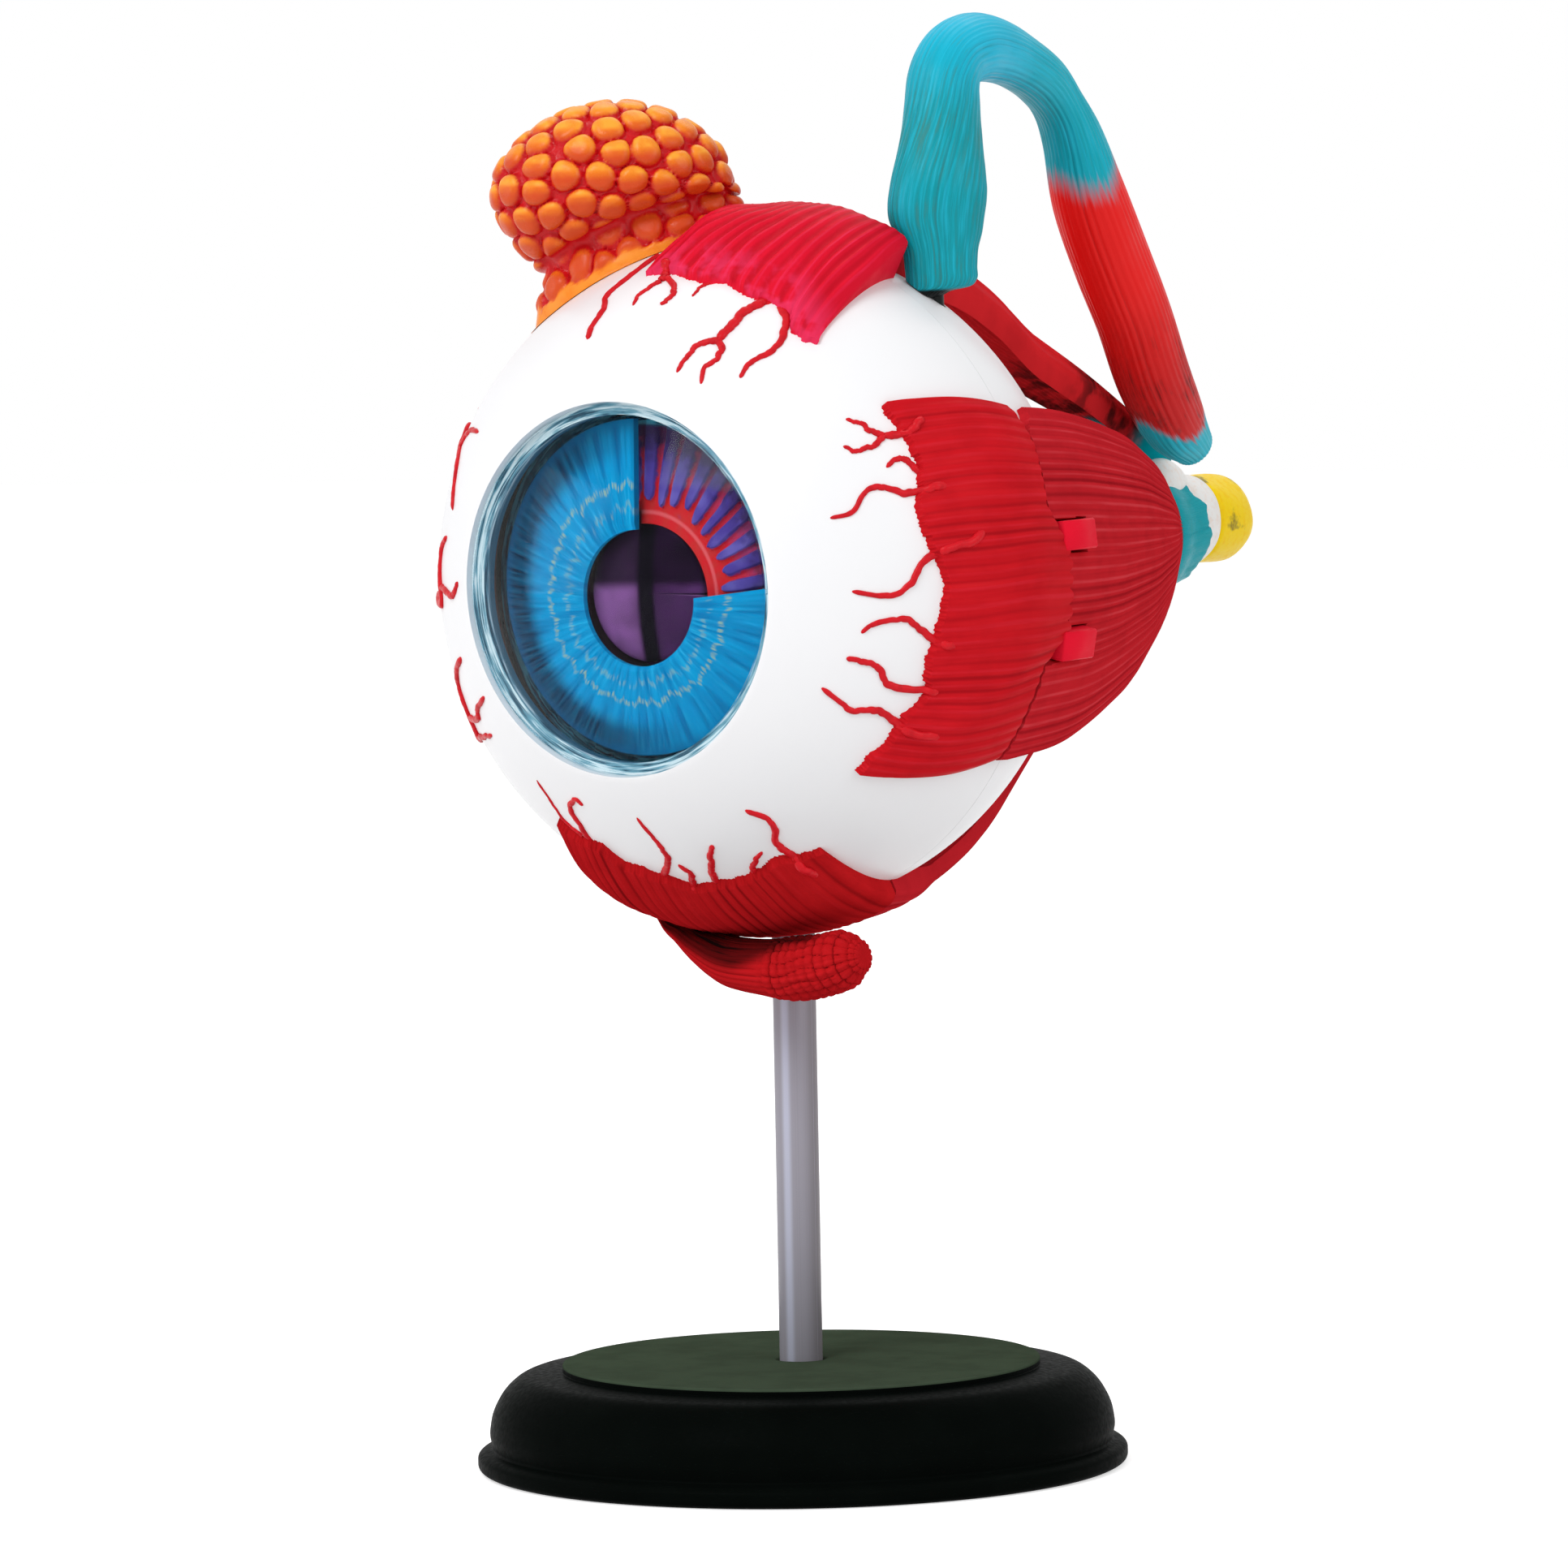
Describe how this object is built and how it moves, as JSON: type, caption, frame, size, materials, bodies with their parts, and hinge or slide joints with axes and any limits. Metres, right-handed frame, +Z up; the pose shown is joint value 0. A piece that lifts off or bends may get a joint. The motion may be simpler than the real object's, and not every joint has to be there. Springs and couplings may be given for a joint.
{
  "type": "eye anatomy model",
  "caption": "Take-apart model of a human eye with its muscles, tear gland and optic nerve, on a rod and round base, for classroom demonstration.",
  "frame": {"origin": "middle of the stand base's flat underside, on the rod's axis", "axes": "+Z up along the rod, the eye looks along -Y, +X is the nose side of this right eye"},
  "size_m": [0.0822, 0.1322, 0.1673],
  "materials": {
    "base": "near black satin moulding",
    "rod": "satin tube",
    "sclera": "white, glossy",
    "choroid": "dark red brown paint",
    "retina": "orange paint with red vessels",
    "vitreous": "clear plastic",
    "nerve_white": "white paint",
    "nerve_yellow": "yellow paint",
    "tendon": "teal paint",
    "ciliary": "red inner band with purple and blue folds",
    "iris": "blue paint with pale radial lines",
    "lens": "dark purple, polished",
    "cornea": "clear plastic dome",
    "muscle_front": "bright red paint, pink at the torn edges",
    "muscle_rear": "red paint over lengthwise ribs",
    "oblique": "teal at both ends, red belly",
    "gland": "orange lobules with red grooves"
  },
  "bodies": {
    "stand": {"stand_base": "base", "stand_rod": "rod"},
    "rear_half": {"sclera_rear": "sclera", "choroid_rear": "choroid", "retina_rear": "retina", "vitreous_body": "vitreous", "optic_nerve_sheath": "nerve_white", "optic_nerve_core": "nerve_yellow", "tendon_ring": "tendon", "superior_rectus_rear": "muscle_rear", "medial_rectus_rear": "muscle_rear", "inferior_rectus_rear": "muscle_rear", "lateral_rectus_rear": "muscle_rear"},
    "front_half": {"sclera_front": "sclera", "choroid_front": "choroid", "ciliary_body": "ciliary", "iris": "iris", "lens": "lens", "superior_rectus_front": "muscle_front", "medial_rectus_front": "muscle_front", "inferior_rectus_front": "muscle_front", "lateral_rectus_front": "muscle_front"},
    "cornea": {"cornea": "cornea"},
    "lacrimal_gland": {"lacrimal_gland": "gland"},
    "superior_oblique": {"superior_oblique": "oblique"},
    "inferior_oblique": {"inferior_oblique": "muscle_rear"}
  },
  "joints": [
    {"name": "eye_swivel", "type": "hinge", "parent": "stand", "child": "rear_half", "pos_m": [0, 0, 0.07], "axis": [0, 0, 1], "continuous": true},
    {"name": "front_half_pull", "type": "slide", "parent": "rear_half", "child": "front_half", "axis": [0, -0.9995, -0.033], "range_m": [0, 0.045]},
    {"name": "cornea_pull", "type": "slide", "parent": "front_half", "child": "cornea", "axis": [0, -0.9995, -0.033], "range_m": [0, 0.02]},
    {"name": "gland_pull", "type": "slide", "parent": "front_half", "child": "lacrimal_gland", "axis": [-0.3923, -0.0303, 0.9193], "range_m": [0, 0.015]},
    {"name": "superior_oblique_pull", "type": "slide", "parent": "rear_half", "child": "superior_oblique", "axis": [0, -0.033, 0.9995], "range_m": [0, 0.03]},
    {"name": "inferior_oblique_pull", "type": "slide", "parent": "rear_half", "child": "inferior_oblique", "axis": [-0.5466, 0.0276, -0.837], "range_m": [0, 0.015]}
  ]
}
